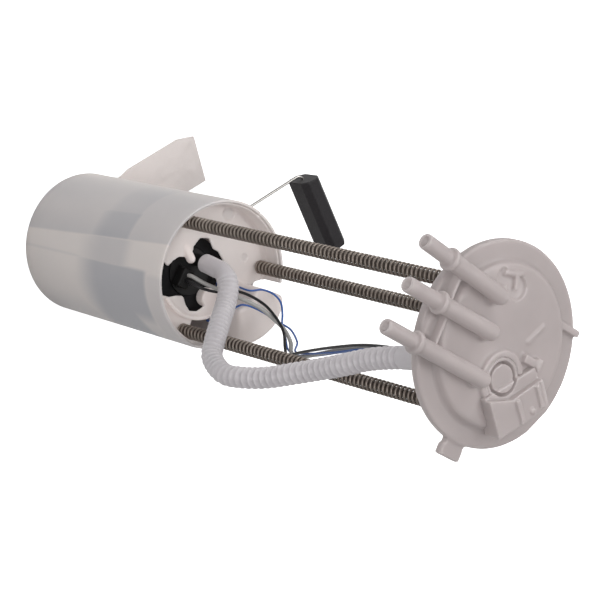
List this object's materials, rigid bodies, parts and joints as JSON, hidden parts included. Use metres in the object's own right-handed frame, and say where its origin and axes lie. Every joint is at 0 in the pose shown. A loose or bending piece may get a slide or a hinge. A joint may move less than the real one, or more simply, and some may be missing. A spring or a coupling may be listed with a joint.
{
  "type": "in-tank fuel pump module",
  "caption": "In-tank fuel pump module: round sealing flange on sprung guide rods over a cup reservoir with pump, strainer and float arm.",
  "frame": {"origin": "centre of the reservoir's round foot pad, on its underside", "axes": "+Z along the module's axis up to the flange; the three supply ports point to -Y"},
  "size_m": [0.1794, 0.2298, 0.4589],
  "materials": {
    "cup_plastic": "satin",
    "white_plastic": "satin",
    "flange_plastic": "satin",
    "black_rubber": "matt",
    "pump_steel": "satin",
    "black_plastic": "satin",
    "magnet_iron": "matt",
    "rotor_metal": "satin",
    "valve_rubber": "matt",
    "strainer_cloth": "matt",
    "card_ceramic": "satin",
    "bright_steel": "satin",
    "contact_brass": "satin",
    "float_foam": "matt",
    "spring_steel": "satin",
    "hose_plastic": "satin",
    "grey_jacket": "satin",
    "black_jacket": "satin",
    "blue_jacket": "satin"
  },
  "bodies": {
    "module": {"reservoir": "cup_plastic", "cover": "white_plastic", "pump_isolator": "black_rubber", "pump_case": "pump_steel", "pump_inlet_cap": "black_plastic", "pump_outlet_cap": "black_plastic", "pump_magnets": "magnet_iron", "pump_plug": "black_plastic", "foot_valve": "valve_rubber", "strainer_neck": "white_plastic", "strainer_pouch": "strainer_cloth", "sensor_bracket": "white_plastic", "sensor_card": "card_ceramic", "arm_pin": "bright_steel", "spring_left": "spring_steel", "spring_front": "spring_steel", "spring_back": "spring_steel", "corrugated_hose": "hose_plastic", "wire_grey": "grey_jacket", "wire_black": "black_jacket", "wire_blue_long": "blue_jacket", "wire_blue_short": "blue_jacket"},
    "rotor": {"pump_rotor": "rotor_metal"},
    "top": {"flange": "flange_plastic", "connector_housing": "flange_plastic", "connector_pins": "contact_brass", "wire_plug": "white_plastic", "guide_rods": "bright_steel", "rod_clips": "bright_steel"},
    "arm": {"float_hub": "white_plastic", "wiper": "contact_brass", "float_arm": "bright_steel"},
    "float": {"float_body": "float_foam", "float_clip": "bright_steel"}
  },
  "joints": [
    {"name": "flange_slide", "type": "slide", "parent": "module", "child": "top", "axis": [0, 0, -1], "range_m": [0, 0.095], "stiffness_N_per_m": 250, "springref_m": -0.04, "deforming": ["spring_left", "spring_front", "spring_back", "corrugated_hose", "wire_grey", "wire_black", "wire_blue_long", "wire_blue_short"]},
    {"name": "arm_hinge", "type": "hinge", "parent": "module", "child": "arm", "pos_m": [-0.04693, 0.0413, 0.094], "axis": [0.5592, 0.829, 0], "range_deg": [-60, 50]},
    {"name": "float_turn", "type": "hinge", "parent": "arm", "child": "float", "pos_m": [-0.09968, 0.08291, 0.104], "axis": [0.5592, 0.829, 0], "continuous": true},
    {"name": "rotor_spin", "type": "hinge", "parent": "module", "child": "rotor", "pos_m": [0.004, -0.008, 0.08], "axis": [0, 0, 1], "continuous": true}
  ]
}
